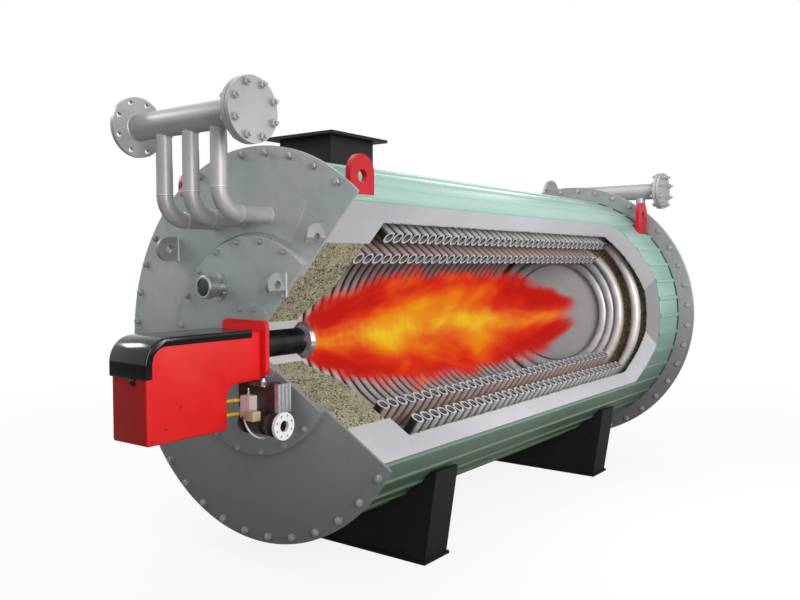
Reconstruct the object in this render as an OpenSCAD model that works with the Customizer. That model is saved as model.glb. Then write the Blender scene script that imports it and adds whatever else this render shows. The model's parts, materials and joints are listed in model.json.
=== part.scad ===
// Thermal oil heater: a horizontal fired heater with two coils, cut open along one side.
// Millimetres. The vessel lies along +Y from the burner end, +Z is up, the floor is z = 0.
// Modules are drawn about the vessel axis, with y = 0 on the face of the front plate.

/* [Vessel] */
// Height of the vessel axis above the floor
axis_height = 1150; // [1100:10:1500]
// Radius of the front plate
plate_r = 1000; // [950:5:1100]
// Thickness of the front plate
plate_t = 15; // [8:1:30]
// Radius of the burner door
door_r = 550; // [450:5:620]
// How far the burner door stands out of the plate
door_proud = 42; // [20:1:80]
// Radius of the clad body, between the ribs
pan_r = 950; // [900:5:980]
// Number of ribs round the cladding
rib_count = 44; // [24:2:60]
// Height of a cladding rib
rib_h = 10; // [4:1:15]
// Where the cladding ends, behind the front plate
clad_end = 3682; // [3000:2:4500]
// Inside radius of the insulation round the coils
casing_r = 832; // [780:2:900]
// Wall of the inner casing
casing_t = 6; // [3:1:12]
// Radius of the rear flange
rear_r = 1063; // [1000:1:1120]

/* [Cutaway] */
// Angle of the upper cut, above the level
cut_top = 48; // [35:1:55]
// Angle of the lower cut, below the level
cut_low = 31; // [15:1:45]
// Where the window ends, on the cladding
window_end = 3270; // [2800:10:3500]

/* [Coils] */
// Outside diameter of a coil tube
tube_d = 74; // [50:1:90]
// Wall of a coil tube
tube_wall = 7; // [3:0.5:12]
// Distance from one turn to the next
pitch = 78; // [74:1:100]
// Radius of the inner coil, to the tube centre
inner_coil_r = 590; // [520:5:620]
// Radius of the outer coil, to the tube centre
outer_coil_r = 735; // [700:5:780]
// First turn of the inner coil
inner_start = 342; // [340:1:400]
// First turn of the outer coil
outer_start = 470; // [430:1:520]
// Turns of the inner coil
inner_turns = 40; // [20:1:42]
// Turns of the outer coil
outer_turns = 38; // [20:1:40]
// Spacer bars between the coils
spacer_count = 8; // [4:1:12]
// Radius of the disc that closes the chamber
disc_r = 405; // [300:1:405]

/* [Firing end] */
// Radius of the refractory block
block_r = 690; // [600:5:720]
// Face of the refractory block in the chamber
block_end = 305; // [250:1:305]
// Radius of the blast tube
blast_r = 72; // [60:1:95]
// End of the blast tube
blast_end = 330; // [250:1:400]
// Half width of the burner
burner_hw = 125; // [100:1:180]
// Back of the burner housing, in front of the plate
burner_back = 745; // [600:5:900]
// Top of the burner housing
burner_top = 85; // [60:1:140]
// Bottom of the burner housing
burner_low = 370; // [300:1:420]

/* [Headers] */
// Outside diameter of a header pipe
header_d = 133; // [100:1:170]
// Bore of a header pipe
header_bore = 120; // [90:1:150]
// Diameter of a header flange
flange_d = 300; // [260:1:340]
// Thickness of a header flange
flange_t = 24; // [16:1:40]
// Bolt circle of a header flange
flange_pcd = 250; // [220:1:280]
// Hole in a header flange
flange_hole = 26; // [18:1:32]
// Outside diameter of a riser
riser_d = 80; // [60:1:100]
// Centre line radius of a riser bend
bend_r = 120; // [90:1:160]
// Height of the front header above the vessel axis
front_header_z = 1097; // [1060:1:1200]
// Height of the rear header above the vessel axis
rear_header_z = 1027; // [1000:1:1200]
// Distance of a header from the face it feeds
header_out = 320; // [280:1:420]

/* [Supports] */
// Half width of a saddle at its base
saddle_hw = 655; // [560:5:720]
// Thickness of a base plate
base_t = 15; // [8:1:30]
// Depth of a base plate along the vessel
base_depth = 236; // [180:2:320]
// Front edge of the front base plate
front_base_y = 544; // [400:2:800]
// Front edge of the rear base plate
rear_base_y = 2714; // [2400:2:3000]
// Height of the front lifting lugs above the vessel axis
lug_top = 926; // [900:1:980]
// Distance of a front lifting lug from the middle
lug_x = 598; // [560:1:620]
// How much lower the rear lifting lugs are
rear_lug_drop = 28; // [0:1:60]
// How much further out the rear lifting lugs are
rear_lug_out = 82; // [0:1:90]

/* [Flue] */
// Half width of the flue duct
duct_hw = 185; // [140:1:240]
// Front of the flue duct
duct_y0 = 370; // [345:1:420]
// Back of the flue duct
duct_y1 = 725; // [600:1:800]
// Top of the flue flange above the vessel axis
duct_top = 1100; // [1060:1:1240]

/* [Hidden] */
$fn = 96;
big = 3000;
clad_in = pan_r - 5;
ring_y = clad_end + 8;
ring_t = 30;
cover_y = ring_y + ring_t;
rear_face = cover_y + ring_t;
rear_header_y = rear_face + header_out;
cover_grow = 10;
cover_side = 7;
rear_most = rear_header_y + flange_d / 2;
front_most = -burner_back - cover_grow;
mid_y = (rear_most + front_most) / 2;
tube_r = tube_d / 2;
cut_span = 360 - cut_top - cut_low;
door_in = 480;
door_seat = -18;
throat_r = 105;
sleeve_r = 165;
sleeve_end = 205;
chamber_y = 345;
disc_y = 3440;
lining_y = disc_y + 26;
panel_t = 8;
panel_in = 569;
panel_out = 790;
burner_ring_r = 215;
blast_wall = 8;
notch_y = -297;
ring_face = -door_proud - 13;
flange_back = ring_face - 25;
front_risers = [[-290, 628], [-92, 636], [106, 650]];
rear_risers = [[-165, 650], [165, 650], [495, 650]];
front_x0 = -512;
front_x1 = 314;
rear_x0 = -367;
rear_x1 = 673;
raised_r = 105;
raised_h = 2;
saddle_top = -655;
saddle_flare = 72;
saddle_inset = 15;
duct_wall = 6;
duct_rim = 58;
duct_flange_t = 16;
duct_foot = 700;
lug_w = 176;
lug_t = 30;
lug_hole = 32;
lug_hole_drop = 104;
front_lug_y = 18;
rear_lug_y = 3494;
eye_t = 20;
eye_hole = 20;
left_eye = [-608, 491];
right_eye = [470, 535];
door_eye = [247, 312];
sight_at = [-223, 293];
glass_r = 46;
glass_back = 90;
glass_t = 9;
gas_y = -172;
gas_z = -340;
gas_x = 370;
gas_bore = 27;
gas_flange_r = 65;
gas_flange_t = 16;
gas_pcd = 100;
gas_face = -175;
gas_top = -168;
valve_x = 66;
valve_w = 240;
valve_h = 112;
neck_x = 210;
neck_y = 30;
neck_r = 40;
box_x = 131;
lead_r = 9;

// Moves the vessel axis to its height, with the part centred over the origin
module placed() {
  translate([0, -mid_y, axis_height]) children();
}

// Turns a profile of [radius, y] points about the vessel axis
module turned() {
  rotate([-90, 0, 0]) rotate_extrude() children();
}

// Turns a profile through the angles from a to b, seen from the front
module swept(a, b) {
  rotate([-90, 0, 0]) rotate([0, 0, -b]) rotate_extrude(angle = b - a) children();
}

// A front view outline carried from y = y0 to y = y1
module along(y0, y1) {
  translate([0, y1, 0]) rotate([90, 0, 0]) linear_extrude(height = y1 - y0) children();
}

// A side view outline of [y, z] points carried across from x0 to x1
module across(x0, x1) {
  translate([x0, 0, 0]) rotate([90, 0, 90]) linear_extrude(height = x1 - x0) children();
}

// A round bar along the vessel
module bar_y(r, y0, y1) {
  translate([0, y1, 0]) rotate([90, 0, 0]) cylinder(r = r, h = y1 - y0);
}

// A round bar across the vessel
module bar_x(r, x0, x1) {
  translate([x0, 0, 0]) rotate([0, 90, 0]) cylinder(r = r, h = x1 - x0);
}

// The wedge that the cutaway takes out, with its corners clipped at the rear
module window() {
  rear_slant = 24;
  clip_y = window_end + 115;
  top_clip = [clip_y - 526, 1200];
  low_clip = [clip_y - 443, -900];
  difference() {
    along(-600, 3900)
      polygon([[0, 0], [big * cos(cut_top), big * sin(cut_top)],
               [big * cos(cut_low), -big * sin(cut_low)]]);
    translate([pan_r, window_end, 0]) rotate([0, 0, -rear_slant]) translate([-big, 0, -big])
      cube([2 * big, big, 2 * big]);
    across(-big, big) polygon([[clip_y, 100], top_clip, [2 * big, 1200], [2 * big, 100]]);
    across(-big, big) polygon([[clip_y, 0], low_clip, [2 * big, -900], [2 * big, 0]]);
  }
}

module front_plate() {
  color("#8f9596") placed() difference() {
    turned() polygon([[door_in, 0], [plate_r, 0], [plate_r, plate_t], [door_in, plate_t]]);
    window();
  }
}

module door_ring() {
  color("#858b8c") placed() difference() {
    turned() polygon([[door_in, door_seat], [door_r, door_seat], [door_r, 0], [door_in, 0]]);
    window();
  }
}

module burner_door() {
  color("#959b9c") placed() difference() {
    turned() polygon([[throat_r, -door_proud], [door_r - 4, -door_proud], [door_r, 4 - door_proud],
                      [door_r, door_seat], [throat_r, door_seat]]);
    window();
  }
}

module burner_ring() {
  color("#8b9192") placed() difference() {
    turned() polygon([[blast_r + 3, ring_face], [burner_ring_r, ring_face],
                      [burner_ring_r, -door_proud], [blast_r + 3, -door_proud]]);
    window();
  }
}

module pipe_panel() {
  color("#8c9293") placed()
    swept(63, 123)
      polygon([[panel_in, -panel_t], [panel_out, -panel_t], [panel_out, 0], [panel_in, 0]]);
}

// One cladding sheet all round, with a trapezoid rib at each joint
module clad_outline() {
  difference() {
    union() {
      circle(r = pan_r, $fn = 360);
      for (i = [0 : rib_count - 1])
        rotate([0, 0, (i + 0.05) * 360 / rib_count])
          polygon([[pan_r - 3, -19], [pan_r + rib_h, -10], [pan_r + rib_h, 10], [pan_r - 3, 19]]);
    }
    circle(r = clad_in, $fn = 360);
  }
}

// The space that the flue duct takes up, grown by its wall
module duct_shaft(grow) {
  foot = duct_foot - 100;
  translate([-duct_hw - grow, duct_y0 - grow, foot])
    cube([2 * (duct_hw + grow), duct_y1 - duct_y0 + 2 * grow, duct_top - foot + 1]);
}

module cladding() {
  color("#8fc1b0") placed() difference() {
    along(plate_t, clad_end) clad_outline();
    window();
    duct_shaft(0);
  }
}

module insulation() {
  color("#b8b8be") placed() difference() {
    turned() polygon([[block_r, plate_t], [clad_in, plate_t], [clad_in, ring_y],
                      [casing_r, ring_y], [casing_r, chamber_y], [block_r, chamber_y]]);
    window();
    duct_shaft(0);
  }
}

module inner_casing() {
  color("#6d6a4a") placed() difference() {
    turned() polygon([[casing_r - casing_t, chamber_y], [casing_r, chamber_y], [casing_r, ring_y],
                      [casing_r - casing_t, ring_y]]);
    window();
    duct_shaft(0);
  }
}

// The block round the burner throat, with a cone that opens into the chamber
module refractory_block() {
  throat_end = sleeve_end - 15;
  mouth_r = 200;
  cone_r = 345;
  lip_r = 400;
  color("#8f8a6b") placed() difference() {
    turned() polygon([[sleeve_r, door_seat], [door_in, door_seat], [door_in, plate_t],
                      [block_r, plate_t], [block_r, block_end], [lip_r, block_end],
                      [cone_r, block_end - 20], [mouth_r, throat_end], [sleeve_r, throat_end]]);
    window();
  }
}

module throat_sleeve() {
  color("#cfcfd2") placed() difference() {
    turned() polygon([[throat_r, door_seat], [sleeve_r, door_seat], [sleeve_r, sleeve_end - 15],
                      [sleeve_r - 10, sleeve_end], [throat_r, sleeve_end]]);
    window();
  }
}

// One turn of a coil: cut where the window is, whole behind it
module turn(radius, y) {
  rotate([-90, 0, 0]) translate([0, 0, y]) rotate([0, 0, cut_low])
    rotate_extrude(angle = y > window_end ? 360 : cut_span) translate([radius, 0])
      difference() {
        circle(r = tube_r);
        circle(r = tube_r - tube_wall);
      }
}

module inner_coil() {
  color("#9a9a9a") placed()
    for (i = [0 : inner_turns - 1]) turn(inner_coil_r, inner_start + i * pitch);
}

module outer_coil() {
  color("#929294") placed()
    for (i = [0 : outer_turns - 1]) turn(outer_coil_r, outer_start + i * pitch);
}

// The inner coil goes on as two flat turns round the disc
module end_coil() {
  step = tube_d + 0.6;
  color("#9a9a9a") placed()
    for (i = [1, 2]) turn(inner_coil_r - i * step, inner_start + (inner_turns - 1) * pitch + i * 16);
}

module coil_spacers() {
  r0 = inner_coil_r + tube_r;
  r1 = outer_coil_r - tube_r;
  color("#77787a") placed()
    for (i = [0 : spacer_count - 1]) rotate([0, -(cut_top + (i + 0.5) * cut_span / spacer_count), 0])
      translate([r0, outer_start - tube_r, -8]) cube([r1 - r0, outer_turns * pitch, 16]);
}

module rear_disc() {
  color("#8d8a8a") placed()
    turned() polygon([[0, disc_y], [disc_r - 12, disc_y], [disc_r, disc_y + 8],
                      [disc_r, lining_y], [0, lining_y]]);
}

module rear_lining() {
  color("#8f8a6b") placed()
    turned() polygon([[0, lining_y], [casing_r - casing_t, lining_y], [casing_r - casing_t, ring_y],
                      [0, ring_y]]);
}

module rear_flange_ring() {
  color("#8a8f90") placed()
    turned() polygon([[casing_r - casing_t, ring_y], [rear_r, ring_y], [rear_r, cover_y],
                      [casing_r - casing_t, cover_y]]);
}

module rear_cover() {
  color("#8f9596") placed()
    turned() polygon([[0, cover_y], [rear_r, cover_y], [rear_r, rear_face - 3],
                      [rear_r - 3, rear_face], [0, rear_face]]);
}

module saddle(y) {
  difference() {
    along(y + saddle_inset, y + base_depth - saddle_inset)
      polygon([[-saddle_hw, base_t - axis_height], [saddle_hw, base_t - axis_height],
               [saddle_hw + saddle_flare, saddle_top], [-saddle_hw - saddle_flare, saddle_top]]);
    bar_y(pan_r + rib_h, y - 100, y + base_depth + 100, $fn = 360);
  }
}

module front_saddle() {
  color("#1d1d1f") placed() saddle(front_base_y);
}

module rear_saddle() {
  color("#1d1d1f") placed() saddle(rear_base_y);
}

module base_plates() {
  hw = saddle_hw + 9;
  color("#19191b") placed()
    for (y = [front_base_y, rear_base_y])
      translate([-hw, y, -axis_height]) cube([2 * hw, base_depth, base_t]);
}

module flue_duct() {
  color("#202123") placed() difference() {
    translate([-duct_hw, duct_y0, duct_foot])
      cube([2 * duct_hw, duct_y1 - duct_y0, duct_top - duct_flange_t - duct_foot]);
    duct_shaft(-duct_wall);
    bar_y(casing_r - casing_t, 0, 1500);
  }
}

module flue_flange() {
  color("#27282a") placed() difference() {
    translate([-duct_hw - duct_rim, duct_y0 - duct_rim, duct_top - duct_flange_t])
      cube([2 * (duct_hw + duct_rim), duct_y1 - duct_y0 + 2 * duct_rim, duct_flange_t]);
    duct_shaft(-duct_wall);
  }
}

// A lifting plate on the cladding, with its foot cut to the sheet
module lifting_lug(x, y, top) {
  r = lug_w / 2;
  foot = 500;
  difference() {
    across(x - lug_t / 2, x + lug_t / 2) difference() {
      union() {
        translate([y + r, top - r]) circle(r = r);
        translate([y, foot]) square([lug_w, top - r - foot]);
      }
      translate([y + r, top - lug_hole_drop]) circle(r = lug_hole);
    }
    bar_y(pan_r, y - 50, y + lug_w + 50, $fn = 360);
  }
}

module front_lifting_lugs() {
  color("#d31f2a") placed()
    for (side = [-1, 1]) lifting_lug(side * lug_x, front_lug_y, lug_top);
}

module rear_lifting_lugs() {
  color("#d31f2a") placed()
    for (side = [-1, 1]) lifting_lug(side * (lug_x + rear_lug_out), rear_lug_y, lug_top - rear_lug_drop);
}

// An eye plate that stands out of a face, with a round end
module eye_plate(at, face, reach, r) {
  across(at[0] - eye_t / 2, at[0] + eye_t / 2) difference() {
    union() {
      translate([face - reach + r, at[1]]) circle(r = r);
      translate([face - reach + r, at[1] - r]) square([reach - r, 2 * r]);
    }
    translate([face - reach + r + 5, at[1]]) circle(r = eye_hole);
  }
}

module plate_lugs() {
  reach = 131;
  color("#8f9596") placed() difference() {
    for (at = [left_eye, right_eye]) eye_plate(at, 0, reach, reach / 2);
    window();
  }
}

module door_lug() {
  reach = 118;
  color("#8f9596") placed() difference() {
    eye_plate(door_eye, -door_proud, reach, reach / 2);
    window();
  }
}

// A short tube on a flange, with a ring that holds the glass
module sight_tube() {
  f = -door_proud;
  bore = 36;
  foot_r = 72;
  neck_r = 50;
  ring_r = 60;
  nose = f - glass_back - 16;
  color("#9aa0a2") placed() translate([sight_at[0], 0, sight_at[1]])
    turned() polygon([[bore, f], [foot_r, f], [foot_r, f - 14], [neck_r, f - 14], [neck_r, f - 52],
                      [ring_r, f - 60], [ring_r, nose + 6], [ring_r - 6, nose], [glass_r, nose],
                      [glass_r, f - glass_back], [bore, f - glass_back]]);
}

module sight_glass() {
  back = -door_proud - glass_back;
  color("#2e3b44") placed() translate([sight_at[0], 0, sight_at[1]])
    turned() polygon([[0, back - glass_t], [glass_r, back - glass_t], [glass_r, back], [0, back]]);
}

// Side view of the burner housing, grown outward by g along the top and the rear
module burner_side(g) {
  round_r = 105;
  translate([-burner_back + round_r, burner_top - round_r]) circle(r = round_r + g);
  translate([-burner_back + round_r, -burner_low])
    square([burner_back - round_r + flange_back, burner_low + burner_top + g]);
  translate([-burner_back - g, -burner_low])
    square([round_r + g, burner_low + burner_top - round_r]);
}

// The corner under the burner head, where the gas line comes in
module burner_notch() {
  r = 67;
  top = -157;
  low = -burner_low - 10;
  translate([notch_y + r, low]) square([-notch_y, top - low]);
  translate([notch_y, low]) square([-notch_y, top - r - low]);
  translate([notch_y + r, top - r]) circle(r = r);
}

module burner_housing() {
  color("#e23130") placed()
    across(-burner_hw, burner_hw) difference() {
      burner_side(0);
      burner_notch();
    }
}

// The moulded cover over the top and the rear of the housing
module burner_cover() {
  skirt = -82;
  front = -140;
  color("#17171a") placed() difference() {
    across(-burner_hw - cover_side, burner_hw + cover_side) intersection() {
      difference() {
        burner_side(cover_grow);
        burner_side(-30);
      }
      translate([front_most, skirt]) square([front - front_most, burner_top + cover_grow - skirt]);
    }
    across(-burner_hw, burner_hw) burner_side(0);
  }
}

// A plate outline with round corners
module round_plate(hw, z0, z1, r) {
  translate([-hw, z0 + r]) square([2 * hw, z1 - z0 - 2 * r]);
  translate([-hw + r, z0]) square([2 * (hw - r), z1 - z0]);
  for (x = [-hw + r, hw - r], z = [z0 + r, z1 - r]) translate([x, z]) circle(r = r);
}

module burner_flange() {
  color("#c92a2a") placed() difference() {
    along(flange_back, ring_face) round_plate(burner_hw + 30, -140, 135, 30);
    bar_y(blast_r, -200, 0);
  }
}

module burner_tube() {
  color("#2a2b2d") placed() turned()
    polygon([[blast_r - blast_wall, flange_back], [blast_r, flange_back], [blast_r, blast_end],
             [blast_r - blast_wall, blast_end]]);
}

// The flared ring round the mouth of the blast tube
module burner_head() {
  color("#d5d7da") placed() turned()
    polygon([[blast_r, blast_end - 28], [blast_r + 24, blast_end - 20],
             [blast_r + 28, blast_end + 8], [blast_r - blast_wall, blast_end + 8],
             [blast_r - blast_wall, blast_end], [blast_r, blast_end]]);
}

// The valve block, with two caps on top and a neck down to the governor
module gas_valve_body() {
  color("#2b2522") placed() {
    translate([valve_x, gas_face, gas_top - valve_h]) cube([valve_w, 95, valve_h]);
    translate([120, gas_face + 45, gas_top]) cylinder(r = 38, h = 11);
    translate([262, gas_face + 45, gas_top]) cylinder(r = 32, h = 18);
    translate([neck_x, gas_y + neck_y, gas_z]) cylinder(r = neck_r, h = gas_top - gas_z - valve_h + 2);
  }
}

// A cast cover on the side of the valve block, with upright ribs
module gas_actuator() {
  cover_t = 16;
  cover_w = 84;
  cover_h = 134;
  rib_w = 12;
  rib_out = 10;
  color("#b9bcc0") placed() translate([valve_x + valve_w, gas_face + 4, gas_top - valve_h - 6]) {
    cube([cover_t, cover_w, cover_h]);
    for (i = [0 : 3])
      translate([cover_t - 1, i * (cover_w - rib_w) / 3, 0]) cube([rib_out, rib_w, cover_h]);
  }
}

module gas_switch_box() {
  color("#d9cfd2") placed()
    translate([box_x, gas_face - 50, gas_top - 150]) cube([61, 50, 106]);
}

// The round body in line with the inlet, with a collar at each end
module gas_governor() {
  color("#1f1e20") placed() translate([0, gas_y, gas_z]) difference() {
    union() {
      bar_x(44, 112, gas_x - gas_flange_t);
      bar_x(58, 118, 142);
      bar_x(54, 168, 250);
      bar_x(58, 292, 312);
    }
    bar_x(gas_bore, 320, gas_x);
    translate([neck_x, neck_y, 0]) cylinder(r = neck_r, h = 100);
  }
}

module gas_inlet_flange() {
  hole_r = 6.5;
  color("#e8e8ec") placed() translate([0, gas_y, gas_z]) difference() {
    bar_x(gas_flange_r, gas_x - gas_flange_t, gas_x);
    bar_x(gas_bore, gas_x - 30, gas_x + 10);
    for (i = [0 : 7]) rotate([i * 45 + 22.5, 0, 0])
      translate([0, 0, gas_pcd / 2]) bar_x(hole_r, gas_x - 30, gas_x + 10);
  }
}

// Two sheathed leads from the burner to the switch box
module gas_lead() {
  bend = 36;
  lead_y = gas_face - 33;
  color("#e3b21c") placed()
    for (z = [gas_top - 70, gas_top - 136]) translate([box_x - bend, 0, z]) {
      bar_y(lead_r, notch_y, lead_y - bend);
      translate([bend, lead_y - bend, 0]) rotate([0, 0, 90])
        rotate_extrude(angle = 90) translate([bend, 0]) circle(r = lead_r);
    }
}

// A header pipe along X between its flange faces
module header_pipe(x0, x1, y, z) {
  translate([0, y, z]) difference() {
    bar_x(header_d / 2, x0, x1);
    bar_x(header_bore / 2, x0 - 10, x1 + 10);
  }
}

// One drilled flange from x on, with its raised face toward dir
module flange_disc(x, y, z, dir) {
  rim_t = flange_t - raised_h;
  rim_x = dir > 0 ? 0 : raised_h;
  translate([x, y, z]) difference() {
    union() {
      bar_x(flange_d / 2, rim_x, rim_x + rim_t);
      bar_x(raised_r, 0, flange_t);
    }
    for (i = [0 : 7]) rotate([i * 45 + 22.5, 0, 0])
      translate([0, 0, flange_pcd / 2]) bar_x(flange_hole / 2, -10, flange_t + 10);
  }
}

module header_flange(x, y, z, dir) {
  difference() {
    flange_disc(x, y, z, dir);
    translate([x, y, z]) bar_x(header_bore / 2, -10, flange_t + 10);
  }
}

// A riser under a header, at [x, run height]: down, round a bend, and level into the face it feeds
module riser(at, y, z, face, dir) {
  r = riser_d / 2;
  bend_y = y + dir * bend_r;
  bend_z = at[1] + bend_r;
  difference() {
    union() {
      translate([at[0], y, bend_z]) cylinder(r = r, h = z - bend_z);
      translate([at[0], bend_y, bend_z]) rotate([90, 0, dir * 90]) rotate([0, 0, 180])
        rotate_extrude(angle = 90) translate([bend_r, 0]) circle(r = r);
      translate([at[0], 0, at[1]]) bar_y(r, min(face, bend_y), max(face, bend_y));
    }
    translate([0, y, z]) bar_x(header_d / 2, at[0] - 100, at[0] + 100);
  }
}

module front_header_pipe() {
  color("#a9a6a8") placed()
    header_pipe(front_x0 + flange_t, front_x1 - flange_t, -header_out, front_header_z);
}

module front_header_flanges() {
  color("#b4b2b4") placed() {
    header_flange(front_x0, -header_out, front_header_z, -1);
    header_flange(front_x1 - flange_t, -header_out, front_header_z, 1);
  }
}

module front_risers() {
  color("#a9a6a8") placed()
    for (at = front_risers) riser(at, -header_out, front_header_z, -panel_t, 1);
}

module rear_header_pipe() {
  color("#a9a6a8") placed()
    header_pipe(rear_x0 + flange_t, rear_x1 - flange_t, rear_header_y, rear_header_z);
}

module rear_header_flanges() {
  color("#b4b2b4") placed() {
    header_flange(rear_x0, rear_header_y, rear_header_z, -1);
    header_flange(rear_x1 - flange_t, rear_header_y, rear_header_z, 1);
  }
}

module rear_risers() {
  color("#a9a6a8") placed()
    for (at = rear_risers) riser(at, rear_header_y, rear_header_z, rear_face, -1);
}

module blind_flanges() {
  color("#b9b7b9") placed() {
    flange_disc(front_x1, -header_out, front_header_z, -1);
    flange_disc(rear_x1, rear_header_y, rear_header_z, -1);
  }
}

front_plate();
door_ring();
burner_door();
burner_ring();
pipe_panel();
cladding();
insulation();
inner_casing();
refractory_block();
throat_sleeve();
inner_coil();
outer_coil();
end_coil();
coil_spacers();
rear_disc();
rear_lining();
rear_flange_ring();
rear_cover();
front_saddle();
rear_saddle();
base_plates();
flue_duct();
flue_flange();
front_lifting_lugs();
rear_lifting_lugs();
plate_lugs();
door_lug();
sight_tube();
sight_glass();
burner_housing();
burner_cover();
burner_flange();
burner_tube();
burner_head();
gas_valve_body();
gas_actuator();
gas_switch_box();
gas_governor();
gas_inlet_flange();
gas_lead();
front_header_pipe();
front_header_flanges();
front_risers();
rear_header_pipe();
rear_header_flanges();
rear_risers();
blind_flanges();
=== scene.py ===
# %% [markdown]
# # A thermal oil heater, cut open
# The heater is a drum of two tube coils round a flame. The solids of its pieces come packed and
# in place, in metres, with the vessel along +Y and the floor at z = 0. This lesson gives every
# surface its finish and adds what is too fine for the solids: bolts, weld beads, the rising
# coils and the flame. The first step loads the solids and the record of their pieces.

# %% Load the imported solids
import json
import math

import bmesh
import bpy
from mathutils import Matrix, Vector


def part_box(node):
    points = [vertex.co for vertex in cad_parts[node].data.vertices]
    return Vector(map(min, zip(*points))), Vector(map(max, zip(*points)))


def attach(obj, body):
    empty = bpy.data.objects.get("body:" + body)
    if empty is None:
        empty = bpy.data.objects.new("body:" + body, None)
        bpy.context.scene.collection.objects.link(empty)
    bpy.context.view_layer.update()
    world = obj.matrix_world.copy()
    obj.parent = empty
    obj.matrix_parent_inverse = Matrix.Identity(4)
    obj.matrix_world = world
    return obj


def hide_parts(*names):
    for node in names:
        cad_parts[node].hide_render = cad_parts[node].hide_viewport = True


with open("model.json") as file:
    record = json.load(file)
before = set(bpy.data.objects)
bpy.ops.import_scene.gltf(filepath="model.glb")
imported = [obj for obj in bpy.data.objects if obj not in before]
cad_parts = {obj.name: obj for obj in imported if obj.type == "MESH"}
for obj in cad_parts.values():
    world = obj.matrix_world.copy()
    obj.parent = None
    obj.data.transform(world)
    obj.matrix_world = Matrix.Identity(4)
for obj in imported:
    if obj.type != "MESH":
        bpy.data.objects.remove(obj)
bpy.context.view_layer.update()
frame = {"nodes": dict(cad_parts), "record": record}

# %% [markdown]
# Everything on the heater is laid out from the vessel axis and from the face of the front plate.
# Both can be read off the front plate's own box, so nothing has to be measured twice. A small
# function then turns a radius, an angle and a depth into a point.

# %% The vessel's own measures
plate_low, plate_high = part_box("front_plate")
AXIS_Z = (plate_low.z + plate_high.z) / 2
PLATE_R = (plate_high.z - plate_low.z) / 2
FACE_Y = plate_low.y
CUT_TOP = 48
CUT_LOW = -31


def on_vessel(radius, degrees, depth):
    """A point at a radius and an angle round the vessel axis, a depth behind the front face."""
    turn = math.radians(degrees)
    return Vector((radius * math.cos(turn), FACE_Y + depth, AXIS_Z + radius * math.sin(turn)))


def in_window(degrees, margin=2.0):
    """True where the cutaway has taken the front plate and the door out."""
    folded = (degrees + 180) % 360 - 180
    return CUT_LOW - margin < folded < CUT_TOP + margin


print("axis height", round(AXIS_Z, 3), "plate radius", round(PLATE_R, 3), "face at", round(FACE_Y, 4))

# %% [markdown]
# ## Camera
# The picture was taken from the burner end, a little right of the drum and at about head height.
# A camera could be aimed with a tracking constraint, but a plain direction built from a heading
# and a dip is easier to read and to correct.

# %% Camera
CAMERA_AT = Vector((3.017, -4.5885, 1.569))
HEADING = math.radians(36.44)
DIP = math.radians(2.65)
LENS_MM = 36.54
SENSOR_MM = 36.0

scene = bpy.context.scene
camera_data = bpy.data.cameras.new("camera")
camera_data.sensor_width = SENSOR_MM
camera_data.lens = LENS_MM
camera = bpy.data.objects.new("camera", camera_data)
scene.collection.objects.link(camera)
look = Vector((-math.sin(HEADING) * math.cos(DIP), math.cos(HEADING) * math.cos(DIP), -math.sin(DIP)))
camera.location = CAMERA_AT
camera.rotation_euler = look.to_track_quat("-Z", "Y").to_euler()
scene.camera = camera
print("camera looks along", [round(v, 3) for v in look])

# %% [markdown]
# ## Shader sums
# Finishes are node trees. Wiring them by hand fills a page for one sum, so a small class wraps a
# socket and lets Python's own operators add the Math nodes. Every other node goes through one
# method that takes its type, its settings and its sockets. A Mix node has sockets for numbers,
# vectors and colours under the same names, so its colour sockets go by their numbers.

# %% Wires and finishes
MIX_FIRST, MIX_SECOND, MIX_RESULT = 6, 7, 2


class Wire:
    """A socket of a finish. Sums on it add Math nodes."""

    def __init__(self, finish, socket):
        self.finish = finish
        self.socket = socket

    def sum(self, operation, first, second):
        """A Math node on two values."""
        return self.finish.node("ShaderNodeMath", {"operation": operation}, {0: first, 1: second})

    def __add__(self, other):
        return self.sum("ADD", self, other)

    def __radd__(self, other):
        return self.sum("ADD", other, self)

    def __sub__(self, other):
        return self.sum("SUBTRACT", self, other)

    def __rsub__(self, other):
        return self.sum("SUBTRACT", other, self)

    def __mul__(self, other):
        return self.sum("MULTIPLY", self, other)

    def __rmul__(self, other):
        return self.sum("MULTIPLY", other, self)

    def __pow__(self, other):
        return self.sum("POWER", self, other)

    def band(self, low, high):
        """0 below low, 1 above high and a soft step between."""
        settings = {"interpolation_type": "SMOOTHSTEP"}
        return self.finish.node("ShaderNodeMapRange", settings, {0: self, 1: low, 2: high})


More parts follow.
